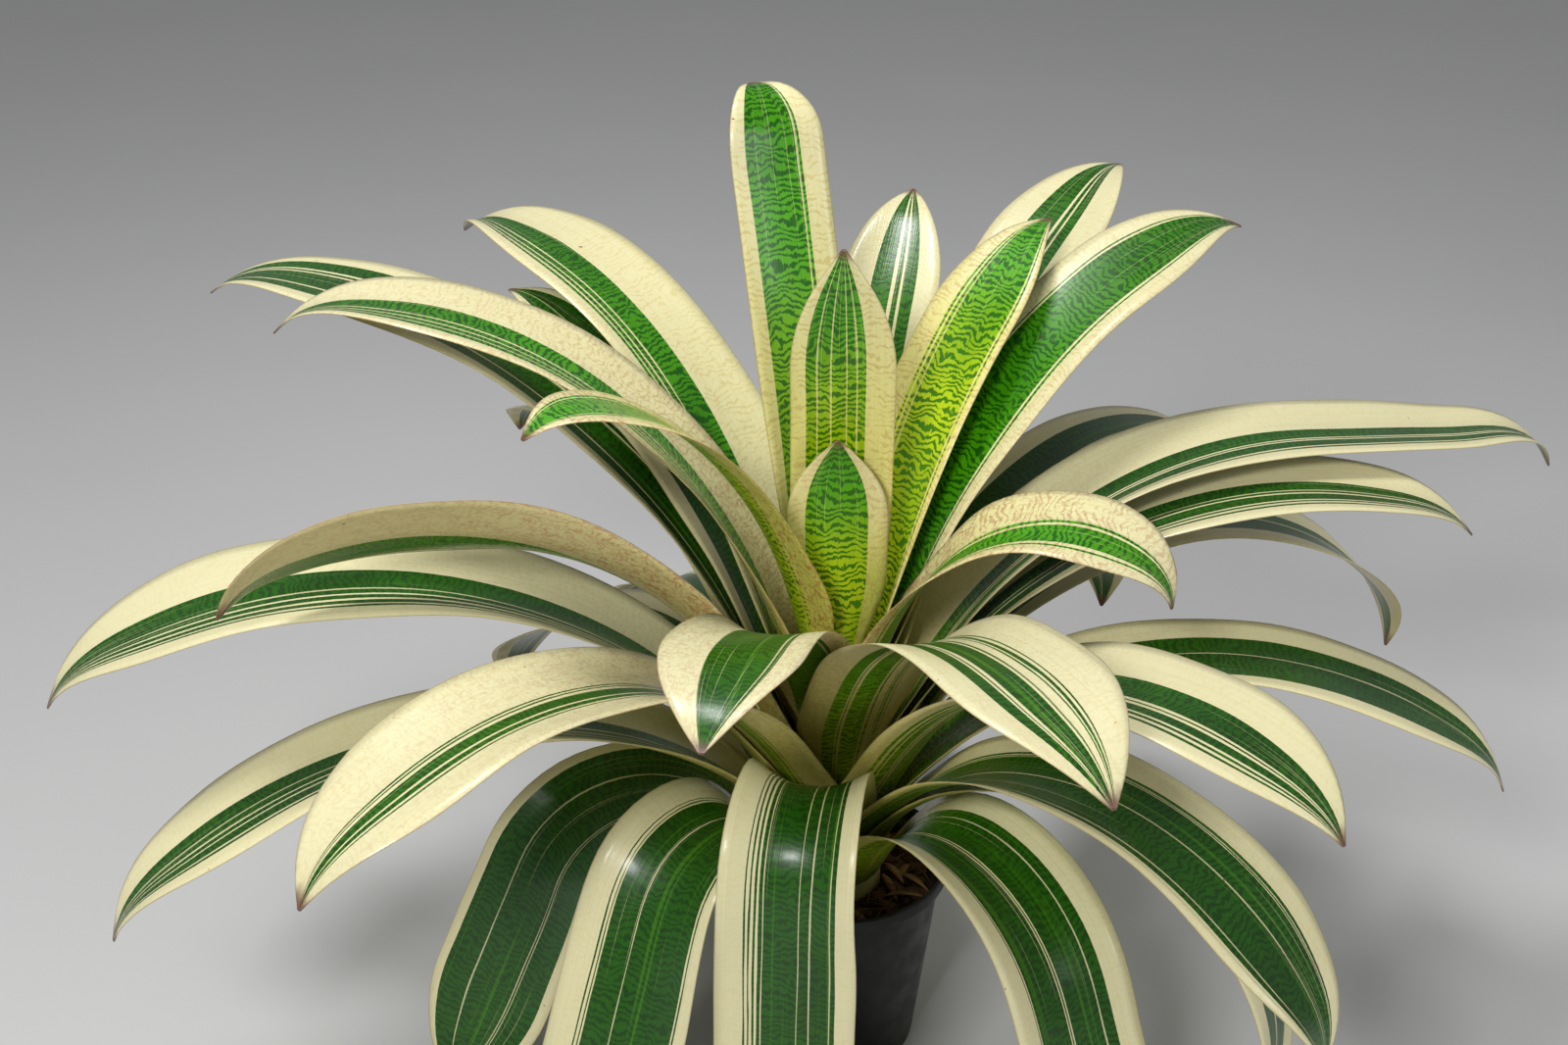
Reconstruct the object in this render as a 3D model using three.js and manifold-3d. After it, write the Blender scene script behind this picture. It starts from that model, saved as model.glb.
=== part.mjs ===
// A variegated bromeliad growing in a round plastic nursery pot.
//
// Millimetres, +Z up. The origin is the centre of the pot's underside, and -Y is the front.
// The plant is a rosette: every leaf starts on a short tapering stem, clasps its neighbours
// as part of a cone, and then arches away as a shallow gutter with a pointed end.

import * as THREE from 'three';
import Module from 'manifold-3d';
import { mergeVertices } from 'three/addons/utils/BufferGeometryUtils.js';

// ---- pot
const POT_HEIGHT = 115;
const POT_BASE_RADIUS = 45;
const POT_WALL_TOP_RADIUS = 58;
const POT_LIP_RADIUS = 62.5;
const POT_LIP_HEIGHT = 10;
const POT_WALL = 1.4;
const POT_FLOOR = 2.4;
const DRAIN_HOLES = 6;
const DRAIN_HOLE_RADIUS = 4;
const DRAIN_RING_RADIUS = 32;

// ---- potting mix and what lies on it
const HEADSPACE = 15;
const MIX_MOUND = 5;
const CHIP_COUNT = 16;
const CHIP_SIZE = 9;
const CHIP_FROM_STEM = 7;
const CHIP_FROM_WALL = 6.6;
const MULCH_FROM_STEM = 3;
const MULCH_FROM_WALL = 2.6;
const MULCH_THICKNESS = 1.4;
const SEAT_GAP = 0.3;

// ---- stem
const STEM_BOTTOM_RADIUS = 26;
const STEM_ROOT_DEPTH = 22;
const FIRST_LEAF_RISE = 6;
const LEAF_SPACING = 1.8;
const STEM_STEP = 0.62;
const STEM_CROWN = 5;

// ---- leaves
const BLADE_THICKNESS = 0.9;
const SHEATH_THICKNESS = 0.5;
const CLASP_REACH = 4;
const FREE_REACH = 49;
const SHEATH_WRAP = 62;
const CHANNEL = 38;
const CHANNEL_AT_TIP = 12;
const TIP_WIDTH = 2;
const OUTER_RISE = 60;
const INNER_RISE = 85;
const STATIONS = 14;
const COLUMNS = 4;
const STEPS_PER_STATION = 8;

// ---- finishes
const BLACK_PLASTIC = { color: 0x141414, roughness: 0.5, metalness: 0 };
const DARK_MIX = { color: 0x2a1d14, roughness: 0.95, metalness: 0 };
const BARK = { color: 0x5a3a22, roughness: 0.9, metalness: 0 };
const STEM_FLESH = { color: 0xc2bd84, roughness: 0.6, metalness: 0 };
const LEAF_CREAM = { color: 0xdfdcae, roughness: 0.35, metalness: 0 };
const LEAF_GREEN = { color: 0x2f6b2a, roughness: 0.35, metalness: 0 };
const LEAF_YOUNG = { color: 0x8fae2e, roughness: 0.35, metalness: 0 };

// Every leaf, from the outermost and lowest to the innermost.
//   azimuth  the way it points, in degrees about +Z
//   length   along its midline
//   width    across its widest part, measured round the gutter
//   fall     its slope near the tip, in degrees, and bow says how late it bends to that
//   sweep    how far it turns sideways by the tip
//   rise     its slope where it leaves the stem, when it is not the usual one for its place
//   bend     the shares of its length where the arching starts and ends
//   twist    its roll about its own midline
//   channel  how deep the gutter is, as half of the angle it spans
//   taper    the share of its length that narrows to the point
//   hook     the extra bend in its last tenth
//   opens    the lengths along it where the clasping base turns into a gutter
const LEAVES = [
  { name: 'leaf_left_hanging', azimuth: 199, length: 320, width: 68, fall: -66, bow: 1.2, sweep: 2,
    bend: [0.1, 0.55], twist: -44, finish: LEAF_GREEN },
  { name: 'leaf_front_left_hanging', azimuth: 229, length: 320, width: 70, fall: -68, bow: 1.5,
    sweep: 0, bend: [0.1, 0.5], twist: -22, finish: LEAF_GREEN },
  { name: 'leaf_front_right_hanging', azimuth: 307, length: 335, width: 74, fall: -64, bow: 1,
    sweep: 0, bend: [0.08, 0.6], finish: LEAF_GREEN },
  { name: 'leaf_back_hanging', azimuth: 83, length: 365, width: 70, fall: -76, bow: 0.8, sweep: 0,
    finish: LEAF_GREEN },
  { name: 'leaf_back_left_hanging', azimuth: 114, length: 365, width: 62, fall: -74, bow: 0.9,
    sweep: 5, finish: LEAF_CREAM },
  { name: 'leaf_back_right_hanging', azimuth: 55, length: 370, width: 56, fall: -67, bow: 1.1,
    sweep: 0, finish: LEAF_GREEN },
  { name: 'leaf_right_hanging', azimuth: 330, length: 385, width: 56, fall: -88, bow: 0.95,
    sweep: 0, bend: [0.05, 0.85], finish: LEAF_CREAM },
  { name: 'leaf_back_left_low', azimuth: 138, length: 300, width: 66, fall: -66, bow: 1, sweep: 0,
    finish: LEAF_GREEN },
  { name: 'leaf_front_right_low', azimuth: 315, length: 362, width: 66, fall: -66, bow: 1.15,
    sweep: 4, rise: 66.5, finish: LEAF_GREEN },
  { name: 'leaf_left_front_low', azimuth: 202, length: 420, width: 66, fall: -46, bow: 0.9,
    sweep: 0, rise: 67, finish: LEAF_CREAM },
  { name: 'leaf_front_hanging', azimuth: 258, length: 330, width: 70, fall: -84, bow: 0.9, sweep: 6,
    bend: [0.22, 0.5], rise: 62, channel: 44, finish: LEAF_GREEN },
  { name: 'leaf_right_low', azimuth: 353, length: 392, width: 66, fall: -44, bow: 0.95, sweep: -3,
    finish: LEAF_GREEN },
  { name: 'leaf_right_front_middle', azimuth: 313, length: 370, width: 70, fall: -34, bow: 1.4,
    sweep: 5, finish: LEAF_CREAM },
  { name: 'leaf_left_long', azimuth: 189, length: 462, width: 72, fall: -37, bow: 1.05, sweep: 3,
    twist: -7, finish: LEAF_CREAM },
  { name: 'leaf_front_left_middle', azimuth: 226, length: 400, width: 70, fall: -38, bow: 1.2,
    sweep: 0, finish: LEAF_CREAM },
  { name: 'leaf_back_middle', azimuth: 100, length: 400, width: 68, fall: -42, bow: 0.95, sweep: 0,
    finish: LEAF_GREEN },
  { name: 'leaf_right_back_low', azimuth: 18, length: 428, width: 66, fall: -68, bow: 1.2,
    sweep: -2, finish: LEAF_CREAM },
  { name: 'leaf_back_right_shaded', azimuth: 40, length: 370, width: 64, fall: -40, bow: 1.3,
    sweep: 0, finish: LEAF_GREEN },
  { name: 'leaf_back_left_middle', azimuth: 128, length: 380, width: 66, fall: -40, bow: 1.2,
    sweep: 0, finish: LEAF_GREEN },
  { name: 'leaf_left_curled', azimuth: 198, length: 400, width: 60, fall: -30, bow: 1.4, sweep: 3,
    twist: 48, channel: 46, finish: LEAF_CREAM },
  { name: 'leaf_right_long', azimuth: 4, length: 400, width: 68, fall: -23, bow: 1.1, sweep: -8,
    finish: LEAF_CREAM },
  { name: 'leaf_right_back_long', azimuth: 13, length: 480, width: 66, fall: -3, bow: 1.2,
    sweep: -4, bend: [0, 0.68], hook: -60, finish: LEAF_CREAM },
  { name: 'leaf_right_front_upper', azimuth: 290, length: 358, width: 72, fall: -26, bow: 1.35,
    sweep: 8, finish: LEAF_CREAM },
  { name: 'leaf_left_back_long', azimuth: 161, length: 470, width: 70, fall: -12, bow: 1.2,
    sweep: 0, finish: LEAF_CREAM },
  { name: 'leaf_back_left_shaded', azimuth: 146, length: 330, width: 60, fall: 20, bow: 1.25,
    sweep: 0, finish: LEAF_GREEN },
  { name: 'leaf_front_young', azimuth: 247, length: 296, width: 64, fall: -25, bow: 1.55, sweep: 14,
    channel: 44, finish: LEAF_CREAM },
  { name: 'leaf_back_right_tall', azimuth: 51, length: 403, width: 64, fall: 13, bow: 1.2, sweep: 2,
    finish: LEAF_GREEN },
  { name: 'leaf_back_left_upper', azimuth: 136, length: 425, width: 66, fall: -16, bow: 1.5,
    sweep: 0, finish: LEAF_CREAM },
  { name: 'leaf_right_tall', azimuth: 32, length: 396, width: 58, fall: 3, bow: 1.45, sweep: -3,
    twist: 12, finish: LEAF_GREEN },
  { name: 'leaf_left_upper', azimuth: 174, length: 430, width: 66, fall: -21, bow: 1.6, sweep: -2,
    finish: LEAF_CREAM },
  { name: 'leaf_right_young', azimuth: 335, length: 292, width: 52, fall: -62, bow: 2.35, sweep: 2,
    rise: 80, twist: 11, finish: LEAF_CREAM },
  { name: 'leaf_back_tall', azimuth: 75, length: 330, width: 54, fall: 30, bow: 1.35, sweep: 0,
    rise: 82.5, finish: LEAF_GREEN },
  { name: 'leaf_crown_right', azimuth: 47, length: 328, width: 53, fall: 26, bow: 1.5, sweep: 0,
    finish: LEAF_YOUNG },
  { name: 'leaf_left_young', azimuth: 203, length: 328, width: 56, fall: -6, bow: 2.15, sweep: 22,
    finish: LEAF_YOUNG },
  { name: 'leaf_crown_back', azimuth: 113, length: 370, width: 50, fall: 68, bow: 1.05, sweep: 0,
    rise: 84, taper: 0.12, hook: -80, opens: [110, 230], finish: LEAF_GREEN },
  { name: 'leaf_crown_middle', azimuth: 78, length: 284, width: 52, fall: 94, bow: 1, sweep: 0,
    twist: 5, hook: 0, opens: [60, 140], finish: LEAF_YOUNG },
  { name: 'leaf_heart', azimuth: 270, length: 188, width: 50, fall: 116, bow: 3, sweep: 0,
    taper: 0.2, opens: [50, 120], finish: LEAF_YOUNG },
];

const rad = THREE.MathUtils.degToRad;
const lerp = THREE.MathUtils.lerp;
const smoothstep = THREE.MathUtils.smoothstep;
const clamp = THREE.MathUtils.clamp;

const wasm = await Module();
wasm.setup();

// ---- solids from geometries, for the joins and cuts

function toSolid(geometry) {
  const bare = geometry.clone();
  bare.deleteAttribute('normal');
  bare.deleteAttribute('uv');
  const merged = mergeVertices(bare, 1e-4);
  const mesh = new wasm.Mesh({
    numProp: 3,
    vertProperties: new Float32Array(merged.attributes.position.array),
    triVerts: new Uint32Array(merged.index.array),
  });
  return new wasm.Manifold(mesh);
}

function toGeometry(solid) {
  const mesh = solid.getMesh();
  const geometry = new THREE.BufferGeometry();
  const positions = new Float32Array(mesh.vertProperties);
  geometry.setAttribute('position', new THREE.BufferAttribute(positions, 3));
  geometry.setIndex(new THREE.BufferAttribute(new Uint32Array(mesh.triVerts), 1));
  return geometry;
}

// A profile of [radius, height] pairs, turned about Z.
function turned(profile, segments) {
  const points = profile.map(([radius, height]) => new THREE.Vector2(radius, height));
  return new THREE.LatheGeometry(points, segments).rotateX(Math.PI / 2);
}

// ---- pot

const lipBottom = POT_HEIGHT - POT_LIP_HEIGHT;
const wallInnerTop = POT_WALL_TOP_RADIUS - POT_WALL;

// The inner radius of the wall at a height, below the lip.
function wallInnerRadius(height) {
  const share = (height - POT_FLOOR) / (lipBottom - POT_FLOOR);
  return lerp(POT_BASE_RADIUS - POT_WALL, wallInnerTop, share);
}

function potGeometry() {
  const profile = [
    [0, 0],
    [POT_BASE_RADIUS - POT_WALL, 0],
    [POT_BASE_RADIUS, POT_WALL],
    [POT_WALL_TOP_RADIUS, lipBottom - POT_WALL],
    [POT_LIP_RADIUS - POT_WALL, lipBottom],
    [POT_LIP_RADIUS, lipBottom + POT_WALL],
    [POT_LIP_RADIUS, POT_HEIGHT - POT_WALL],
    [POT_LIP_RADIUS - POT_WALL, POT_HEIGHT],
    [POT_LIP_RADIUS - 2 * POT_WALL, POT_HEIGHT - POT_WALL],
    [POT_LIP_RADIUS - 2 * POT_WALL, lipBottom + POT_WALL],
    [wallInnerTop, lipBottom],
    [POT_BASE_RADIUS - POT_WALL, POT_FLOOR],
    [0, POT_FLOOR],
  ];
  let pot = toSolid(turned(profile, 40));
  for (let k = 0; k < DRAIN_HOLES; k += 1) {
    const angle = (2 * Math.PI * k) / DRAIN_HOLES;
    const hole = new THREE.CylinderGeometry(DRAIN_HOLE_RADIUS, DRAIN_HOLE_RADIUS, 3 * POT_FLOOR, 12)
      .rotateX(Math.PI / 2)
      .translate(DRAIN_RING_RADIUS * Math.cos(angle), DRAIN_RING_RADIUS * Math.sin(angle), 0);
    pot = pot.subtract(toSolid(hole));
  }
  return toGeometry(pot);
}

// ---- stem, potting mix and mulch

const mixTop = POT_HEIGHT - HEADSPACE;
const firstLeafHeight = mixTop + FIRST_LEAF_RISE;
const stemTop = firstLeafHeight + LEAF_SPACING * LEAVES.length;

// Straight below the first leaf, and a cone from there up.
function stemRadius(height) {
  const steps = Math.max(0, (height - firstLeafHeight) / LEAF_SPACING);
  return STEM_BOTTOM_RADIUS - STEM_STEP * steps;
}

function stemGeometry() {
  const profile = [
    [0, mixTop - STEM_ROOT_DEPTH],
    [STEM_BOTTOM_RADIUS - 4, mixTop - STEM_ROOT_DEPTH],
    [STEM_BOTTOM_RADIUS, mixTop - STEM_ROOT_DEPTH + 5],
    [STEM_BOTTOM_RADIUS, firstLeafHeight - LEAF_SPACING],
    [stemRadius(stemTop), stemTop],
    [stemRadius(stemTop) / 2, stemTop + STEM_CROWN],
    [0, stemTop + STEM_CROWN + 1],
  ];
  return turned(profile, 28);
}

// The mix's top is a low mound: highest round the stem and lowest at the wall.
function mixHeight(radius) {
  const share = (radius - STEM_BOTTOM_RADIUS) / (wallInnerTop - STEM_BOTTOM_RADIUS);
  return mixTop - MIX_MOUND * clamp(share, 0, 1) ** 2;
}

function mixGeometry() {
  const well = STEM_BOTTOM_RADIUS + SEAT_GAP;
  const wellFloor = mixTop - STEM_ROOT_DEPTH - SEAT_GAP;
  const edgeHeight = mixHeight(wallInnerTop);
  const middle = (STEM_BOTTOM_RADIUS + wallInnerTop) / 2;
  const profile = [
    [0, POT_FLOOR + SEAT_GAP],
    [wallInnerRadius(POT_FLOOR) - SEAT_GAP, POT_FLOOR + SEAT_GAP],
    [wallInnerRadius(edgeHeight) - 2 * SEAT_GAP, edgeHeight],
    [middle, mixHeight(middle)],
    [well, mixTop],
    [well, wellFloor],
    [0, wellFloor],
  ];
  return turned(profile, 32);
}

// A repeatable stream of numbers from 0 to 1.
function stream(seed) {
  let state = seed;
  return () => {
    state = (state * 16807) % 2147483647;
    return state / 2147483647;
  };
}

// Bark mulch: a thin mat lying on the mix, with squashed uneven chips bedded in it, one in
// each of its equal sectors.
function mulchGeometry() {
  const next = stream(271);
  const mulchInner = STEM_BOTTOM_RADIUS + MULCH_FROM_STEM;
  const mulchOuter = wallInnerTop - MULCH_FROM_WALL;
  const radii = [mulchInner, (mulchInner + mulchOuter) / 2, mulchOuter];
  const under = radii.map((radius) => [radius, mixHeight(radius) + SEAT_GAP]);
  const over = under.map(([radius, height]) => [radius, height + MULCH_THICKNESS]).reverse();
  let mulch = toSolid(turned([...under, ...over, under[0]], 32));
  for (let k = 0; k < CHIP_COUNT; k += 1) {
    const angle = (2 * Math.PI * (k + 0.3 * next())) / CHIP_COUNT;
    const inner = k % 2 === 0;
    const radius = inner
      ? STEM_BOTTOM_RADIUS + CHIP_FROM_STEM + 2 * next()
      : wallInnerTop - CHIP_FROM_WALL - 4 * next();
    const size = CHIP_SIZE * (0.7 + 0.4 * next());
    const height = size * 0.4;
    const seat = mixHeight(Math.max(radius - size / 2, STEM_BOTTOM_RADIUS)) + SEAT_GAP;
    const chip = new THREE.DodecahedronGeometry(size / 2, 0)
      .scale(1, 0.7, 0.4)
      .rotateZ(angle + 2 * next())
      .translate(radius * Math.cos(angle), radius * Math.sin(angle), seat + height / 2);
    mulch = mulch.add(toSolid(chip));
  }
  return toGeometry(mulch);
}

// ---- leaves

// The full width of a blade at a share of its length: even, then a long rounded point.
function bladeWidth(leaf, share) {
  const taperLength = leaf.taper ?? 0.22;
  const toTip = clamp((1 - share) / taperLength, 0, 1);
  const point = 1 - (1 - toTip) ** 2;
  const waist = lerp(0.9, 1, smoothstep(share, 0.1, 0.5));
  return Math.max(TIP_WIDTH, leaf.width * waist * point);
}

// The midline: a place and a slope at every station, from a slope that changes along the leaf.
function midline(leaf, rise, start) {
  const [from, to] = leaf.bend ?? [0, 1];
  const azimuth = rad(leaf.azimuth);
  const place = new THREE.Vector3();
  place.set(start.radius * Math.cos(azimuth), start.radius * Math.sin(azimuth), start.height);
  const stations = [];
  let share = 0;
  const directionAt = (at) => {
    const bent = clamp((at - from) / (to - from), 0, 1) ** leaf.bow;
    const hook = rad(leaf.hook ?? -25) * smoothstep(at, 0.9, 1);
    const slope = rad(lerp(rise, leaf.fall, bent)) + hook;
    return { slope, heading: azimuth + rad(leaf.sweep) * at ** 2 };
  };
  for (let j = 0; j <= STATIONS; j += 1) {
    const target = 1 - (1 - j / STATIONS) ** 1.3;
    const step = (target - share) / STEPS_PER_STATION;
    for (let k = 0; k < STEPS_PER_STATION && j > 0; k += 1) {
      const { slope, heading } = directionAt(share + step / 2);
      const run = step * leaf.length * Math.cos(slope);
      place.x += run * Math.cos(heading);
      place.y += run * Math.sin(heading);
      place.z += step * leaf.length * Math.sin(slope);
      share += step;
    }
    stations.push({ share: target, place: place.clone(), ...directionAt(target) });
  }
  return stations;
}

// One row of points across the leaf, with the direction of its upper side at each.
function crossRow(leaf, station) {
  const { share, place, slope, heading } = station;
  const along = share * leaf.length;
  const half = bladeWidth(leaf, share) / 2;
  const turn = rad(leaf.twist ?? 0) * smoothstep(share, 0.15, 0.7);
  const tangent = new THREE.Vector3(
    Math.cos(slope) * Math.cos(heading),
    Math.cos(slope) * Math.sin(heading),
    Math.sin(slope),
  );
  const across = new THREE.Vector3(-Math.sin(heading), Math.cos(heading), 0)
    .applyAxisAngle(tangent, turn);
  const upper = new THREE.Vector3().crossVectors(tangent, across);
  const channel = rad(lerp(leaf.channel ?? CHANNEL, CHANNEL_AT_TIP, smoothstep(share, 0.2, 0.85)));
  const radius = Math.hypot(place.x, place.y);
  const opened = leaf.opens ? smoothstep(along, leaf.opens[0], leaf.opens[1]) : 0;
  const reach = radius - STEM_BOTTOM_RADIUS;
  const free = Math.max(smoothstep(reach, CLASP_REACH, FREE_REACH), opened);
  const bearing = Math.atan2(place.y, place.x);
  const wrap = Math.min(half / Math.max(radius, 1), rad(SHEATH_WRAP));
  const thickness = lerp(SHEATH_THICKNESS, BLADE_THICKNESS, free);
  const row = [];
  for (let i = 0; i <= COLUMNS; i += 1) {
    const side = (2 * i) / COLUMNS - 1;
    const arc = channel * side;
    const gutter = place.clone()
      .addScaledVector(across, (half * Math.sin(arc)) / channel)
      .addScaledVector(upper, (half * (1 - Math.cos(arc))) / channel);
    const gutterNormal = upper.clone()
      .multiplyScalar(Math.cos(arc))
      .addScaledVector(across, -Math.sin(arc));
    const around = bearing + wrap * side;
    const cone = new THREE.Vector3(radius * Math.cos(around), radius * Math.sin(around), place.z);
    const coneNormal = new THREE.Vector3(
      -Math.sin(slope) * Math.cos(around),
      -Math.sin(slope) * Math.sin(around),
      Math.cos(slope),
    );
    const middle = cone.lerp(gutter, free);
    const normal = coneNormal.lerp(gutterNormal, free).normalize();
    row.push({
      top: middle.clone().addScaledVector(normal, thickness / 2),
      bottom: middle.clone().addScaledVector(normal, -thickness / 2),
    });
  }
  return row;
}

// A closed thin solid: upper sheet, lower sheet, and a strip round the edge between them.
function leafGeometry(leaf, index) {
  const share = index / (LEAVES.length - 1);
  const rise = leaf.rise ?? lerp(OUTER_RISE, INNER_RISE, share ** 0.8);
  const height = firstLeafHeight + LEAF_SPACING * index;
  const start = { radius: stemRadius(height) + SEAT_GAP + SHEATH_THICKNESS, height };
  const rows = midline(leaf, rise, start).map((station) => crossRow(leaf, station));
  const positions = [];
  rows.forEach((row) => row.forEach(({ top }) => positions.push(top.x, top.y, top.z)));
  rows.forEach((row) => row.forEach(({ bottom }) => positions.push(bottom.x, bottom.y, bottom.z)));
  const perRow = COLUMNS + 1;
  const under = rows.length * perRow;
  const faces = [];
  const quad = (a, b, c, d) => faces.push(a, b, c, a, c, d);
  for (let j = 0; j < STATIONS; j += 1) {
    for (let i = 0; i < COLUMNS; i += 1) {
      const a = j * perRow + i;
      const b = a + perRow;
      quad(a, b, b + 1, a + 1);
      quad(under + a, under + a + 1, under + b + 1, under + b);
    }
    const left = j * perRow;
    const right = left + COLUMNS;
    quad(left, under + left, under + left + perRow, left + perRow);
    quad(right, right + perRow, under + right + perRow, under + right);
  }
  const last = STATIONS * perRow;
  for (let i = 0; i < COLUMNS; i += 1) {
    quad(i, i + 1, under + i + 1, under + i);
    quad(last + i, under + last + i, under + last + i + 1, last + i + 1);
  }
  const geometry = new THREE.BufferGeometry();
  geometry.setAttribute('position', new THREE.Float32BufferAttribute(positions, 3));
  geometry.setIndex(faces);
  return geometry;
}

// ---- the whole plant

const plant = new THREE.Group();

function add(name, geometry, finish) {
  const mesh = new THREE.Mesh(geometry, new THREE.MeshStandardMaterial(finish));
  mesh.name = name;
  plant.add(mesh);
}

add('pot', potGeometry(), BLACK_PLASTIC);
add('potting_mix', mixGeometry(), DARK_MIX);
add('bark_mulch', mulchGeometry(), BARK);
add('stem', stemGeometry(), STEM_FLESH);
LEAVES.forEach((leaf, index) => add(leaf.name, leafGeometry(leaf, index), leaf.finish));

export default plant;
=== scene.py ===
"""Looks for a variegated bromeliad in a nursery pot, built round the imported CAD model."""

import math

import bmesh
import bpy
import numpy as np
from mathutils import Matrix, Vector


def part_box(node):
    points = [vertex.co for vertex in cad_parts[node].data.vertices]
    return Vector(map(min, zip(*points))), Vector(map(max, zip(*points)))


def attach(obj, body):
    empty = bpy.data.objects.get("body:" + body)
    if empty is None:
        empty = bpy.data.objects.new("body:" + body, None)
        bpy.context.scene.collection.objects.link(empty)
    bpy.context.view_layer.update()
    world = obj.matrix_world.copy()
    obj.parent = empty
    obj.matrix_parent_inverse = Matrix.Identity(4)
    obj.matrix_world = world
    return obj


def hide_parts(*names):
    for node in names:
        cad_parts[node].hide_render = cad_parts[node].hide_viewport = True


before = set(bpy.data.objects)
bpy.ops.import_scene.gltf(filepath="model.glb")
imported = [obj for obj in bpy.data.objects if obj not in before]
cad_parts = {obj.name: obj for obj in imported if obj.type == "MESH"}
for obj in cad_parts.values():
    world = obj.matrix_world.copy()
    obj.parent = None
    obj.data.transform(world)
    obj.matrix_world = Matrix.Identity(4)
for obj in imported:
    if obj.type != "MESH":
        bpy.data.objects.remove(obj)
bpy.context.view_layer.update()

ROWS, COLUMNS = 54, 12  # of a blade's sheet, along it and across it
RING = 10  # corners in one ring of a CAD leaf
SIDE = RING // 2  # of them on its upper side
MARGIN_RIPPLE = 0.0009
MARGIN_CURL = -0.0008
SWELL = 0.0006
CROWN_FROM = 31  # the leaves from this one inwards are stiff, with no ripple
rng = np.random.default_rng(5)


# ---------------------------------------------------------------- small helpers

def smooth(x, low, high):
    t = np.clip((np.asarray(x, float) - low) / (high - low), 0, 1)
    return t * t * (3 - 2 * t)


def spline(at, values, wanted):
    """A natural cubic spline through values (first axis) at the places at, read at wanted."""
    n = len(at)
    step = np.diff(at)
    matrix = np.eye(n)
    right = np.zeros((n, values[0].size))
    flat = values.reshape(n, -1)
    for i in range(1, n - 1):
        matrix[i, i - 1:i + 2] = step[i - 1], 2 * (step[i - 1] + step[i]), step[i]
        right[i] = 6 * ((flat[i + 1] - flat[i]) / step[i] - (flat[i] - flat[i - 1]) / step[i - 1])
    bend = np.linalg.solve(matrix, right)
    k = np.clip(np.searchsorted(at, wanted, side="right") - 1, 0, n - 2)
    h = step[k][:, None]
    b = ((wanted - at[k]) / step[k])[:, None]
    a = 1 - b
    out = (a * flat[k] + b * flat[k + 1]
           + ((a ** 3 - a) * bend[k] + (b ** 3 - b) * bend[k + 1]) * h ** 2 / 6)
    return out.reshape((len(wanted),) + values.shape[1:])


def new_object(name, verts, faces, smooth_shading=True):
    mesh = bpy.data.meshes.new(name)
    mesh.from_pydata([tuple(v) for v in verts], [], [tuple(f) for f in faces])
    mesh.update()
    if smooth_shading:
        mesh.polygons.foreach_set("use_smooth", [True] * len(mesh.polygons))
    piece = bpy.data.objects.new(name, mesh)
    bpy.context.scene.collection.objects.link(piece)
    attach(piece, "root")
    return piece


# ---------------------------------------------------------------- node helpers

class Nodes:
    """Adds nodes to a tree and links them, so that a material reads as a list of steps."""

    def __init__(self, tree):
        self.tree = tree
        tree.nodes.clear()

    def add(self, kind, sockets=None, **settings):
        node = self.tree.nodes.new(kind)
        for key, value in settings.items():
            setattr(node, key, value)
        for key, value in (sockets or {}).items():
            self.put(node.inputs[key], value)
        return node

    def put(self, socket, value):
        if isinstance(value, bpy.types.NodeSocket):
            self.tree.links.new(value, socket)
        else:
            socket.default_value = value

    def math(self, operation, a, b=0.0, c=0.0, clamp=False):
        node = self.add("ShaderNodeMath", operation=operation, use_clamp=clamp)
        for socket, value in zip(node.inputs, (a, b, c)):
            self.put(socket, value)
        return node.outputs[0]

    def step(self, value, low, high, out_low=0.0, out_high=1.0):
        node = self.add("ShaderNodeMapRange", {0: value, 1: low, 2: high, 3: out_low, 4: out_high},
                        interpolation_type="SMOOTHSTEP")
        return node.outputs[0]

    def mix(self, share, a, b, blend="MIX"):
        node = self.add("ShaderNodeMix", data_type="RGBA", blend_type=blend)
        self.put(node.inputs[0], share)
        self.put(node.inputs[6], a)
        self.put(node.inputs[7], b)
        return node.outputs[2]

    def noise(self, vector, scale, detail=2.0, rough=0.5, distortion=0.0, dims="3D"):
        node = self.add("ShaderNodeTexNoise",
                        {"Vector": vector, "Scale": scale, "Detail": detail,
                         "Roughness": rough, "Distortion": distortion},
                        noise_dimensions=dims)
        return node.outputs["Fac"]

    def scaled(self, vector, x, y, z=1.0, shift=(0, 0, 0)):
        node = self.add("ShaderNodeMapping", {"Vector": vector, "Scale": (x, y, z), "Location": shift})
        return node.outputs[0]

    def bump(self, height, strength, distance, normal=None):
        node = self.add("ShaderNodeBump", {"Height": height, "Strength": strength, "Distance": distance})
        if normal is not None:
            self.put(node.inputs["Normal"], normal)
        return node.outputs[0]


def rgb(r, g, b):
    """A linear colour from 0-255 display values."""
    def linear(c):
        c /= 255
        return c / 12.92 if c <= 0.04045 else ((c + 0.055) / 1.055) ** 2.4
    return (linear(r), linear(g), linear(b), 1.0)


# ---------------------------------------------------------------- leaf pattern, shared

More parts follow.
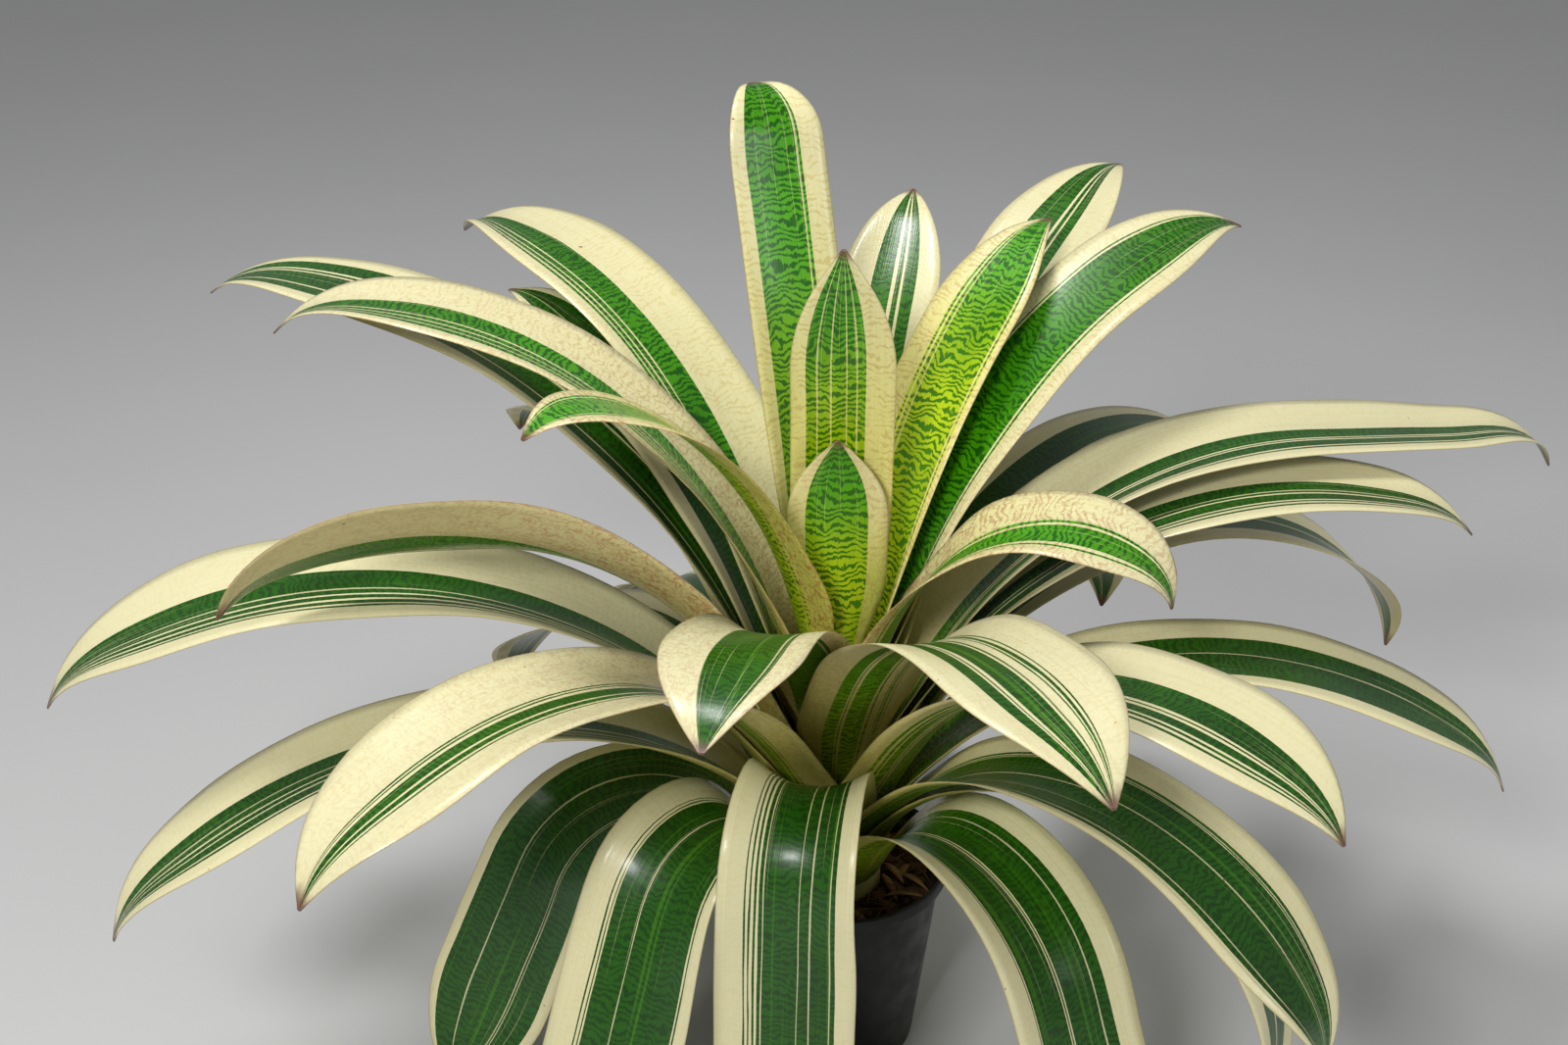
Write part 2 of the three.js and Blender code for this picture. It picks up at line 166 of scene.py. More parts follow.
CREAM = rgb(228, 221, 176)
CREAM_YOUNG = rgb(234, 224, 128)
CREAM_LINE = rgb(206, 186, 96)
GREENS = (rgb(36, 92, 10), rgb(80, 168, 4), rgb(192, 214, 20))
DARK_GREENS = (rgb(10, 46, 5), rgb(18, 92, 2), rgb(50, 116, 2))
VEIN_GREEN = rgb(96, 160, 36)
UNDER_CREAM = rgb(190, 176, 118)
UNDER_GREEN = rgb(60, 88, 16)
UNDER_YOUNG = rgb(196, 198, 88)
BLUSH = rgb(158, 76, 58)
OLIVE = rgb(188, 176, 56)
EDGE_OLD = rgb(160, 144, 98)
EDGE_BLUSH = rgb(158, 104, 84)
TIP_BROWN = rgb(104, 64, 52)
SPOT_BROWN = rgb(96, 60, 30)
BAR_PHASE = 1750.0  # radians per metre along the blade, which is one bar every 3.6 mm
PALE_LINE = 0.22  # how green a pale line is


def three_tones(n, share, tones):
    """From the first tone at 0, through the second at 0.5, to the third at 1."""
    lower = n.mix(n.step(share, 0.0, 0.5), tones[0], tones[1])
    return n.mix(n.step(share, 0.45, 1.0), lower, tones[2])


def leaf_group():
    """Colour, roughness and height of a blade, from its stripe mask and its own coordinates."""
    tree = bpy.data.node_groups.new("leaf_pattern", "ShaderNodeTree")
    for name, kind in (("mask", "NodeSocketFloat"), ("young", "NodeSocketFloat"),
                       ("blush", "NodeSocketFloat"), ("shift", "NodeSocketFloat")):
        tree.interface.new_socket(name, in_out="INPUT", socket_type=kind)
    for name, kind in (("colour", "NodeSocketColor"), ("roughness", "NodeSocketFloat"),
                       ("height", "NodeSocketFloat")):
        tree.interface.new_socket(name, in_out="OUTPUT", socket_type=kind)
    n = Nodes(tree)
    given = n.add("NodeGroupInput").outputs
    mask, young, blush = given["mask"], given["young"], given["blush"]
    metric = n.add("ShaderNodeUVMap", uv_map="metric").outputs[0]
    blade = n.add("ShaderNodeUVMap", uv_map="blade").outputs[0]
    along = n.add("ShaderNodeSeparateXYZ", {0: blade}).outputs[0]
    under = n.add("ShaderNodeAttribute", attribute_name="under").outputs["Fac"]
    margin = n.add("ShaderNodeAttribute", attribute_name="margin").outputs["Fac"]
    place = n.add("ShaderNodeVectorMath", {0: metric, 1: n.add(
        "ShaderNodeCombineXYZ", {2: given["shift"]}).outputs[0]}, operation="ADD").outputs[0]

    # a leaf is liveliest low down and darkens towards its tip
    lively = n.math("MULTIPLY", young, n.step(along, 0.50, 1.04, 1.0, 0.34))
    lively = n.math("ADD", lively, n.step(along, 0.10, 0.42, 0.30, 0.0), clamp=True)
    lively = n.math("MAXIMUM", lively, n.math("MULTIPLY", under, n.step(along, 0.15, 0.65, 0.72, 0.05)))

    # cross bands: thin wavy bars across the blade, broken up and ragged where they cross the veins
    broad = n.noise(n.scaled(place, 70, 60), 1.0, 1.0)
    medium = n.noise(n.scaled(place, 260, 150), 1.0, 1.0)
    ragged = n.noise(n.scaled(place, 1100, 360), 1.0, 0.0)
    y = n.add("ShaderNodeSeparateXYZ", {0: place}).outputs[1]
    phase = n.math("MULTIPLY_ADD", y, BAR_PHASE, n.math("MULTIPLY", broad, 26.0))
    phase = n.math("MULTIPLY_ADD", medium, 9.0, phase)
    phase = n.math("MULTIPLY_ADD", ragged, 2.6, phase)
    patches = n.noise(n.scaled(place, 200, 190), 1.0, 1.0)
    wave = n.math("MULTIPLY_ADD", patches, 3.0, n.math("SUBTRACT", n.math("SINE", phase), 1.5))
    band = n.step(wave, -0.15, 0.6)

    # green, from the old dark blade to the young yellow one
    ground = three_tones(n, lively, GREENS)
    dark = three_tones(n, lively, DARK_GREENS)
    green = n.mix(n.math("MULTIPLY", band, n.step(lively, 0.0, 0.35, 0.60, 0.95)), ground, dark)
    cloud = n.noise(n.scaled(place, 24, 15), 1.0, 2.0)
    green = n.mix(n.step(cloud, 0.46, 0.72, 0.0, 0.4), green, dark)

    # fine lines along the blade
    vein = n.noise(n.scaled(place, 1700, 5), 1.0, 1.0)
    wide_vein = n.noise(n.scaled(place, 420, 3), 1.0, 1.0)
    green = n.mix(n.step(vein, 0.50, 0.72, 0.0, 0.25), green, dark)
    green = n.mix(n.step(wide_vein, 0.60, 0.74, 0.0, 0.30), green, VEIN_GREEN)

    # cream, yellower on a young leaf, with faint bars and lines
    cream = n.mix(n.step(lively, 0.10, 1.0, 0.0, 0.85), CREAM, CREAM_YOUNG)
    line = n.math("MULTIPLY", n.step(wave, 0.45, 1.0), n.step(lively, 0.0, 0.5, 0.10, 0.5))
    cream = n.mix(line, cream, n.mix(blush, CREAM_LINE, BLUSH))
    cream = n.mix(n.step(vein, 0.50, 0.75, 0.0, 0.22), cream, CREAM_LINE)

    # the underside is duller, and red-brown lines run over its cream
    dull = n.math("MULTIPLY", under, n.step(lively, 0.1, 0.9, 1.0, 0.25))
    cream = n.mix(n.math("MULTIPLY", dull, 0.75), cream, UNDER_CREAM)
    cream = n.mix(n.math("MULTIPLY", under, n.step(lively, 0.60, 1.0, 0.0, 0.75)), cream, UNDER_YOUNG)
    green = n.mix(n.math("MULTIPLY", dull, 0.45), green, UNDER_GREEN)
    mottle = n.noise(n.scaled(place, 330, 150), 1.0, 2.0, 0.5, 0.6)
    ridge = n.math("ABSOLUTE", n.math("SUBTRACT", mottle, 0.5))
    near_base = n.step(along, 0.25, 0.85, 1.0, 0.25)
    lines = n.math("MULTIPLY", n.step(ridge, 0.014, 0.055, 0.9, 0.0), n.math("MULTIPLY", blush, near_base))
    cream = n.mix(lines, cream, BLUSH)
    colour = n.mix(mask, cream, green)

    # olive sheaths near the base
    sheath = n.math("MAXIMUM", n.step(along, 0.05, 0.30, 0.80, 0.0),
                    n.math("MULTIPLY", under, n.step(along, 0.10, 0.60, 0.55, 0.0)))
    colour = n.mix(n.math("MULTIPLY", sheath, n.step(mask, 0.2, 0.8, 1.0, 0.30)), colour, OLIVE)

    # a thin dull margin, small spots and a brown tip
    edge = n.step(margin, 0.0001, 0.0007, 0.55, 0.0)
    colour = n.mix(edge, colour, n.mix(blush, EDGE_OLD, EDGE_BLUSH))
    spots = n.noise(n.scaled(place, 260, 240), 1.0, 1.0)
    colour = n.mix(n.step(spots, 0.80, 0.825, 0.0, 0.75), colour, SPOT_BROWN)
    tip_noise = n.math("MULTIPLY_ADD", n.noise(n.scaled(place, 120, 30), 1.0), 0.03, along)
    colour = n.mix(n.step(tip_noise, 0.985, 1.012, 0.0, 0.9), colour, TIP_BROWN)

    rough = n.step(n.noise(n.scaled(place, 30, 12), 1.0, 2.0), 0.3, 0.7, 0.20, 0.35)
    rough = n.math("MULTIPLY_ADD", vein, 0.06, rough)
    height = n.math("MULTIPLY_ADD", wide_vein, 0.6, n.math("MULTIPLY", vein, 0.5))
    height = n.math("MULTIPLY_ADD", band, -0.06, height)
    n.add("NodeGroupOutput", {"colour": colour, "roughness": rough, "height": height})
    return tree


LEAF_PATTERN = leaf_group()


def leaf_material(name, stripes, young, blush, shift):
    """stripes is read from one margin to the other. The number after each letter is its share of
    the blade's width. c is cream, g is green and p is a pale line."""
    material = bpy.data.materials.new(name)
    material.use_nodes = True
    n = Nodes(material.node_tree)
    place = n.add("ShaderNodeUVMap", uv_map="blade").outputs[0]
    parts = n.add("ShaderNodeSeparateXYZ", {0: place}).outputs
    drift = n.noise(n.scaled(place, 2.2, 7.0, 1.0, (shift, shift, 0)), 1.0, 1.0)
    fine = n.noise(n.scaled(place, 9.0, 60.0, 1.0, (shift, 0, 0)), 1.0, 1.0)
    wander, waver = 0.036, 0.012
    across = n.math("MULTIPLY_ADD", drift, wander, n.math("SUBTRACT", parts[1], wander / 2))
    across = n.math("MULTIPLY_ADD", fine, waver, n.math("SUBTRACT", across, waver / 2))
    ramp = n.add("ShaderNodeValToRGB", {0: across})
    ramp.color_ramp.interpolation = "CONSTANT"
    tones = {"c": 0.0, "g": 1.0, "p": PALE_LINE}
    bands = [(word[0], float(word[1:])) for word in stripes.split()]
    total = sum(width for _, width in bands)
    elements = ramp.color_ramp.elements
    elements.remove(elements[1])
    at = 0.0
    for index, (kind, width) in enumerate(bands):
        element = elements[0] if index == 0 else elements.new(at / total)
        element.position = at / total
        element.color = (tones[kind],) * 3 + (1.0,)
        at += width
    streak = n.noise(n.scaled(place, 1.6, 95.0, 1.0, (0, shift * 3, 0)), 1.0, 1.0)
    mask = n.math("MULTIPLY_ADD", n.step(streak, 0.68, 0.74), -0.55, ramp.outputs[0], clamp=True)
    pattern = n.add("ShaderNodeGroup", node_tree=LEAF_PATTERN)
    for key, value in (("mask", mask), ("young", young), ("blush", blush), ("shift", shift)):
        n.put(pattern.inputs[key], value)
    shader = n.add("ShaderNodeBsdfPrincipled", {
        "Base Color": pattern.outputs["colour"],
        "Roughness": pattern.outputs["roughness"],
        "Specular IOR Level": 0.34,
        "Coat Weight": 0.22,
        "Coat Roughness": 0.18,
        "Normal": n.bump(pattern.outputs["height"], 0.35, 0.0006),
    })
    n.add("ShaderNodeOutputMaterial", {0: shader.outputs[0]})
    return material


# ---------------------------------------------------------------- leaf shapes

def leaf_rings(node):
    """The CAD leaf's rings of corners, from its base: upper side first, then lower side.
    Every ring starts at the clockwise margin and runs counterclockwise along the upper side."""
    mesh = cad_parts[node].data
    raw = np.array([v.co for v in mesh.vertices], float)
    _, first, weld = np.unique(np.round(raw * 1e5).astype(int), axis=0,
                               return_index=True, return_inverse=True)
    points = raw[first]
    weld = weld.ravel()
    faces = [[int(weld[i]) for i in face.vertices] for face in mesh.polygons]
    linked = {}
    for face in faces:
        for a in face:
            linked.setdefault(a, set()).update(face)
    lowest = np.argsort(np.hypot(points[:, 0], points[:, 1]) + 0.5 * points[:, 2])
    ring = [int(i) for i in lowest[:RING]]
    rings, level = [], {}
    while ring:
        for i in ring:
            level[i] = len(rings)
        rings.append(ring)
        ring = sorted({j for i in ring for j in linked[i]} - set(level))
    beside = {i: set() for i in level}
    for face in faces:
        for a, b, c in (face, face[1:] + face[:1], face[2:] + face[:2]):
            if level[a] == level[b] != level[c]:
                beside[a].add(b)
                beside[b].add(a)
    ordered = []
    for ring in rings:
        loop = [ring[0]]
        while len(loop) < RING:
            loop.append(next(j for j in sorted(beside[loop[-1]]) if j not in loop))
        ordered.append(loop)
    base = ordered[0]
    gaps = [np.linalg.norm(points[base[k]] - points[base[k - 1]]) for k in range(RING)]
    start = int(np.argmin(gaps))
    loops = [base[start:] + base[:start]]
    radius = np.hypot(points[loops[0], 0], points[loops[0], 1])
    if radius[:SIDE].mean() > radius[SIDE:].mean():
        loops[0] = loops[0][SIDE:] + loops[0][:SIDE]
    centre = points[base].mean(0)
    side = points[loops[0][0]] - points[loops[0][SIDE - 1]]
    if centre[0] * side[1] - centre[1] * side[0] > 0:
        loops[0] = loops[0][SIDE - 1::-1] + loops[0][:SIDE - 1:-1]
    for loop in ordered[1:]:
        tries = [turn[k:] + turn[:k] for turn in (loop, loop[::-1]) for k in range(RING)]
        loops.append(next(t for t in tries if all(b in linked[a] for a, b in zip(loops[-1], t))))
    return points[np.array(loops)]


def leaf_mesh(name, node, material, wave):
    """A smooth blade on the CAD leaf's rings: even sheets above and below, a thinned margin, and
    light waves along the margins."""
    rings = leaf_rings(node)
    upper, lower = rings[:, :SIDE], rings[:, :SIDE - 1:-1]
    middle, half = (upper + lower) / 2, (upper - lower) / 2
    length = np.concatenate([[0], np.cumsum(np.linalg.norm(np.diff(middle[:, 2], axis=0), axis=1))])
    share = 1 - (1 - np.linspace(0, 1, ROWS)) ** 1.35
    rows = spline(length, middle, share * length[-1])
    normals = spline(length, half, share * length[-1])
    across = np.linspace(0, 1, COLUMNS + 1)
    grid = np.array([spline(np.linspace(0, 1, SIDE), row, across) for row in rows])
    normal = np.array([spline(np.linspace(0, 1, SIDE), row, across) for row in normals])
    thick = np.linalg.norm(normal, axis=2, keepdims=True)
    normal /= thick
    width = np.linalg.norm(np.diff(grid, axis=1), axis=2).sum(1)
    side = 2 * across - 1
    free = smooth(share, 0.3, 0.6)[:, None] * smooth(share, 1.02, 0.85)[:, None]
    phase = rng.uniform(0, 2 * math.pi, 4)
    ripple = (np.sin(share[:, None] * 23 + phase[0] + side * 0.5) * np.clip(side, 0, 1) ** 2
              + np.sin(share[:, None] * 19 + phase[1] + side * 0.5) * np.clip(-side, 0, 1) ** 2)
    swell = np.sin(share[:, None] * 9 + phase[2] + side * 2.5)
    lift = free * (wave * ripple + SWELL * swell)
    lift += MARGIN_CURL * free * np.abs(side) ** 6
    grid += normal * lift[:, :, None]
    profile = (0.35 + 0.65 * np.sqrt(np.clip(1 - np.abs(side) ** 6, 0, 1)))[None, :, None]
    top = grid + normal * thick * profile
    bottom = grid - normal * thick * profile
    count = COLUMNS + 1
    verts = list(top.reshape(-1, 3)) + list(bottom.reshape(-1, 3))
    under = len(verts) // 2
    faces = []
    for j in range(ROWS - 1):
        for i in range(COLUMNS):
            a = j * count + i
            faces.append((a, a + count, a + count + 1, a + 1))
            faces.append((under + a, under + a + 1, under + a + count + 1, under + a + count))
        a, b = j * count, j * count + COLUMNS
        faces.append((a, under + a, under + a + count, a + count))
        faces.append((b, b + count, under + b + count, under + b))
    last = (ROWS - 1) * count
    for i in range(COLUMNS):
        faces.append((i, i + 1, under + i + 1, under + i))
        faces.append((last + i, under + last + i, under + last + i + 1, last + i + 1))
    piece = new_object(name, verts, faces)
    mesh = piece.data
    mesh.materials.append(material)
    u = np.repeat(share, count)
    v = np.tile(across, ROWS)
    x = ((v - 0.5).reshape(ROWS, count) * width[:, None]).ravel()
    edge = ((0.5 - np.abs(v - 0.5)).reshape(ROWS, count) * width[:, None]).ravel()
    blade = np.tile(np.stack([u, v], 1), (2, 1))
    metric = np.tile(np.stack([x, u * length[-1]], 1), (2, 1))
    corner = np.empty(len(mesh.loops), int)
    mesh.loops.foreach_get("vertex_index", corner)
    mesh.uv_layers.new(name="blade").uv.foreach_set("vector", blade[corner].astype(np.float32).ravel())
    mesh.uv_layers.new(name="metric").uv.foreach_set("vector", metric[corner].astype(np.float32).ravel())
    for key, value in (("under", np.repeat([0.0, 1.0], under)), ("margin", np.tile(edge, 2))):
        mesh.attributes.new(key, "FLOAT", "POINT").data.foreach_set("value", value.astype(np.float32))
    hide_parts(node)
    return piece


# Each leaf's stripes from its clockwise margin, how young it is, and its red mottling.
LEAVES = {
    "left_hanging": ("c7 g22 p1 g34 p0.8 g1.5 p0.8 g22 c9", 0, 0.05),
    "front_left_hanging": ("c20 g1 c1.5 g1 c1.2 g20 p0.8 g44 c1 g1 c9", 0, 0.05),
    "front_right_hanging": ("c18 g1 c1 g26 c1.2 g1.2 c1.2 g24 p1.2 g8 c19", 0, 0.05),
    "back_hanging": ("c14 g34 p2 g34 c16", 0.0, 0.1),
    "back_left_hanging": ("c30 g2 c2 g22 p2 g22 c20", 0.0, 0.1),
    "back_right_hanging": ("c18 g30 p2 g2 p2 g28 c18", 0.0, 0.1),
    "right_hanging": ("c24 g20 p3 g22 c31", 0.0, 0.1),
    "back_left_low": ("c22 g24 p2 g26 c26", 0.0, 0.1),
    "front_right_low": ("c7 p1.5 c2 g5 p1 g36 p0.9 g22 c1 g1 c1 g2 c20", 0, 0.1),
    "left_front_low": ("c40 g14 p1.5 g6 c1.5 g5 c1.5 g8 c2 g3 c17", 0.0, 0.1),
    "front_hanging": ("c20 g1 c2.2 g1 c2.2 g1.5 c1.6 g2.5 c0.8 g24 p0.8 g8 p0.8 g14 p1 g3 c15", 0, 0),
    "right_low": ("c20 g36 p1.5 g20 c22", 0.05, 0.1),
    "right_front_middle": ("c14 g3 c3 g3 c2 g8 c2.5 g2 c2.5 g22 c34", 0.05, 0.1),
    "left_long": ("c38 g20 p1.5 g5 c1.5 g4 c2 g4 c2 g2 c16", 0.05, 0.1),
    "front_left_middle": ("c44 g1.5 c1.5 g1.5 c3 g9 c1.5 g4 c2 g1.5 c28", 0.15, 0.4),
    "back_middle": ("c26 g22 p2 g24 c26", 0.05, 0.1),
    "right_back_low": ("c30 g26 p2 g14 c28", 0.0, 0.1),
    "back_right_shaded": ("c18 g28 p2 g30 c18", 0.0, 0.1),
    "back_left_middle": ("c24 g22 p2 g20 c30", 0.0, 0.1),
    "left_curled": ("c6 g6 p1.2 g33 c54", 0.35, 0.8),
    "right_long": ("c14 g3 c3 g3 c2.5 g12 c2 g4 p1.5 g14 c40", 0.05, 0.1),
    "right_back_long": ("c14 g3 c2 g12 c2 g2 c2 g16 c46", 0.05, 0.1),
    "right_front_upper": ("c20 g9 c1.5 g1 c2.5 g14 c2 g1.5 c6 g1.2 c1.2 g2 c2 g1 c31", 0.12, 0.3),
    "left_back_long": ("c13 g14 c3 g3 c2 g22 c2 g12 c14", 0.1, 0.1),
    "back_left_shaded": ("c20 g24 p2 g26 c20", 0.1, 0.1),
    "front_young": ("c33 p0.8 g44 p1.4 g3 c16", 0.18, 0.8),
    "back_right_tall": ("c30 g10 c2 g4 c3 g24 c24", 0.25, 0.1),
    "back_left_upper": ("c46 g22 c1.5 g4 c2 g4 c2 g3 c14", 0.3, 0.1),
    "right_tall": ("c12 c3 g2 c2 g50 c2 g2 c16", 0.36, 0.3),
    "left_upper": ("c42 g18 c1.5 g6 c1.5 g6 c1.5 g5 c14", 0.36, 0.4),
    "right_young": ("c16 g3 c4 g26 c3 g3 p2 c36", 0.55, 0.8),
    "back_tall": ("c22 g12 c3 g5 c4 g18 c30", 0.25, 0.1),
    "crown_right": ("c7 g2 c2 g54 p2 g3 c2 g3 c22", 1, 0.35),
    "left_young": ("c16 g4 c2 g44 p2 g4 c24", 1, 0.9),
    "crown_back": ("c24 g3 p2 g52 c16", 0.68, 0.12),
    "crown_middle": ("c28 g7 p1.5 g8 p1.5 g12 p1.5 g12 p1.5 g10 c14", 1, 0.2),
    "heart": ("c18 g60 c20", 1, 0.5),
}
for index, (short, (stripes, young, blush)) in enumerate(LEAVES.items()):
    node = "leaf_" + short
    made = leaf_material("blade_" + short, stripes, young, blush, 0.37 * (index + 1))
    wave = 0.0 if index >= CROWN_FROM else MARGIN_RIPPLE
    leaf_mesh("blade_" + short, node, made, wave)


# ---------------------------------------------------------------- pot

def plain_material(name, colours, scale, roughness, bump, **fixed):
    """A material with colour varied between two tones by noise, and noise relief."""
    material = bpy.data.materials.new(name)
    material.use_nodes = True
    n = Nodes(material.node_tree)
    place = n.add("ShaderNodeTexCoord").outputs["Object"]
    broad = n.noise(place, scale, 5.0, 0.6)
    fine = n.noise(place, scale * 9, 4.0, 0.6)
    colour = n.mix(n.step(broad, 0.32, 0.68), colours[0], colours[1])
    colour = n.mix(n.step(fine, 0.55, 0.75, 0.0, 0.6), colour, colours[2])
    rough = n.step(fine, 0.3, 0.7, *roughness)
    shader = n.add("ShaderNodeBsdfPrincipled", {
        "Base Color": colour, "Roughness": rough,
        "Normal": n.bump(n.math("ADD", fine, broad), bump[0], bump[1]), **fixed})
    n.add("ShaderNodeOutputMaterial", {0: shader.outputs[0]})
    return material


def lathe(profile, segments):
    """Vertices and faces of a closed profile of (radius, height), turned about Z."""
    angles = np.linspace(0, 2 * math.pi, segments, endpoint=False)
    verts = [(r * math.cos(a), r * math.sin(a), z) for a in angles for r, z in profile]
    count = len(profile)
    faces = []
    for s in range(segments):
        t = (s + 1) % segments
        for k in range(count):
            m = (k + 1) % count
            if profile[k][0] > 0 or profile[m][0] > 0:
                faces.append((s * count + k, t * count + k, t * count + m, s * count + m))
    return verts, faces


def welded(piece, distance=1e-6):
    work = bmesh.new()
    work.from_mesh(piece.data)
    bmesh.ops.remove_doubles(work, verts=work.verts, dist=distance)
    bmesh.ops.dissolve_degenerate(work, edges=work.edges, dist=distance)
    bmesh.ops.recalc_face_normals(work, faces=work.faces)
    work.to_mesh(piece.data)
    work.free()


def cut_drains(piece, count, ring, radius):
    """Round drain holes through the floor of the pot."""
    tool = bmesh.new()
    for k in range(count):
        a = 2 * math.pi * k / count
        bmesh.ops.create_cone(tool, cap_ends=True, segments=24, radius1=radius, radius2=radius, depth=0.01,
                              matrix=Matrix.Translation((ring * math.cos(a), ring * math.sin(a), 0)))
    cutter_mesh = bpy.data.meshes.new("cutter")
    tool.to_mesh(cutter_mesh)
    tool.free()
    cutter = bpy.data.objects.new("cutter", cutter_mesh)
    bpy.context.scene.collection.objects.link(cutter)
    cut = piece.modifiers.new("drains", "BOOLEAN")
    cut.operation, cut.object = "DIFFERENCE", cutter
    done = bpy.data.meshes.new_from_object(piece.evaluated_get(bpy.context.evaluated_depsgraph_get()))
    piece.modifiers.clear()
    piece.data = done
    bpy.data.objects.remove(cutter)
    bpy.data.meshes.remove(cutter_mesh)


def rounded(corners, radius, steps=4):
    """Each corner of an open outline replaced by a short curve."""
    out = [corners[0]]
    for a, b, c in zip(corners, corners[1:], corners[2:]):
        a, b, c = np.array(a), np.array(b), np.array(c)
        reach = min(radius, 0.45 * np.linalg.norm(a - b), 0.45 * np.linalg.norm(c - b))
        p = b + (a - b) / np.linalg.norm(a - b) * reach
        q = b + (c - b) / np.linalg.norm(c - b) * reach
        out += [tuple((1 - t) ** 2 * p + 2 * t * (1 - t) * b + t * t * q)
                for t in np.linspace(0, 1, steps)]
    return out + [corners[-1]]


BASE_RADIUS, WALL_TOP_RADIUS = 0.045, 0.0578
INNER_BASE_RADIUS, INNER_TOP_RADIUS = 0.0436, 0.0564
FLOOR_THICKNESS = 0.0024
DRAINS, DRAIN_RING, DRAIN_RADIUS = 6, 0.032, 0.004
POT_SEGMENTS = 128

pot_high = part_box("pot")[1]
top = pot_high.z
lip = pot_high.x
outline = rounded([(0, 0), (BASE_RADIUS, 0), (WALL_TOP_RADIUS, top - 0.0105),
                   (lip - 0.0008, top - 0.0096), (lip, top - 0.0012), (lip - 0.0016, top),
                   (lip - 0.0028, top - 0.0016), (lip - 0.0031, top - 0.0095),
                   (INNER_TOP_RADIUS, top - 0.0115), (INNER_BASE_RADIUS, FLOOR_THICKNESS),
                   (0, FLOOR_THICKNESS)], 0.0016)
verts, faces = lathe(outline, POT_SEGMENTS)
plastic = plain_material("pot_plastic", (rgb(12, 12, 13), rgb(19, 19, 20), rgb(44, 42, 38)), 9.0,
                         (0.34, 0.55), (0.12, 0.0004), **{"Specular IOR Level": 0.42})
pot = new_object("nursery_pot", verts, faces)
pot.data.materials.append(plastic)
welded(pot)
cut_drains(pot, DRAINS, DRAIN_RING, DRAIN_RADIUS)
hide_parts("pot")


# ---------------------------------------------------------------- mix, bark, litter, stem

HEADSPACE = 0.015
MOUND_DROP = 0.005
MOUND_INNER, MOUND_OUTER = 0.026, 0.0566
MIX_INNER, MIX_OUTER, MIX_BASE_OUTER = 0.0245, 0.0560, 0.0438
MIX_BOTTOM = 0.0030


def mound(radius):
    """The height of the mix, which falls away from the stem."""
    share = np.clip((radius - MOUND_INNER) / (MOUND_OUTER - MOUND_INNER), 0, 1)
    return top - HEADSPACE - MOUND_DROP * share ** 2


soil_rows, soil_columns = 26, 120
verts, faces = [], []
radii = np.linspace(MIX_INNER, MIX_OUTER, soil_rows)
grain = rng.uniform(-1, 1, (soil_rows, soil_columns))
for j, r in enumerate(radii):
    for k in range(soil_columns):
        a = 2 * math.pi * k / soil_columns
        edge_fade = 1 - smooth(r, MIX_OUTER - 0.0015, MIX_OUTER)
        bumps = 0.0006 * math.sin(9 * a + 40 * r) + 0.0008 * grain[j, k] * float(edge_fade)
        verts.append((r * math.cos(a), r * math.sin(a), float(mound(r)) - 0.0004 + bumps))
for j in range(soil_rows - 1):
    for k in range(soil_columns):
        m = (k + 1) % soil_columns
        a, b = j * soil_columns, (j + 1) * soil_columns
        faces.append((a + k, b + k, b + m, a + m))
base_ring = len(verts)
for r, z in ((MIX_BASE_OUTER, MIX_BOTTOM), (MIX_INNER, MIX_BOTTOM)):
    for k in range(soil_columns):
        a = 2 * math.pi * k / soil_columns
        verts.append((r * math.cos(a), r * math.sin(a), z))
outer = (soil_rows - 1) * soil_columns
for k in range(soil_columns):
    m = (k + 1) % soil_columns
    faces.append((outer + k, base_ring + k, base_ring + m, outer + m))
    faces.append((base_ring + k, base_ring + soil_columns + k, base_ring + soil_columns + m, base_ring + m))
    faces.append((base_ring + soil_columns + k, k, m, base_ring + soil_columns + m))
soil = new_object("peat_mix", verts, faces)
soil.data.materials.append(plain_material(
    "peat", (rgb(34, 23, 15), rgb(58, 40, 27), rgb(104, 80, 56)), 120.0, (0.85, 0.98), (0.9, 0.0015)))
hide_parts("potting_mix")


def chunk(centre, size, angle, tilt):
    """An uneven slab of bark as a stretched, knocked-about block."""
    corners = np.array([(x, y, z) for z in (-1, 1) for x, y in
                        ((-1, -0.7), (-0.2, -1), (0.8, -0.8), (1, 0.2), (0.5, 1), (-0.6, 0.9), (-1, 0.1))],
                       float)
    corners += rng.uniform(-0.18, 0.18, corners.shape)
    corners *= np.array(size) / 2
    c, s = math.cos(tilt), math.sin(tilt)
    corners = corners @ np.array([(1, 0, 0), (0, c, s), (0, -s, c)])
    c, s = math.cos(angle), math.sin(angle)
    corners = corners @ np.array([(c, s, 0), (-s, c, 0), (0, 0, 1)])
    sides = 7
    faces = [tuple(range(sides))[::-1], tuple(range(sides, 2 * sides))]
    faces += [(k, (k + 1) % sides, sides + (k + 1) % sides, sides + k) for k in range(sides)]
    return corners + np.array(centre), faces


def gathered(parts):
    """Several (vertices, faces) as one."""
    verts, faces = [], []
    for some, more in parts:
        base = len(verts)
        verts += list(some)
        faces += [tuple(base + i for i in f) for f in more]
    return verts, faces


CHIPS = 150

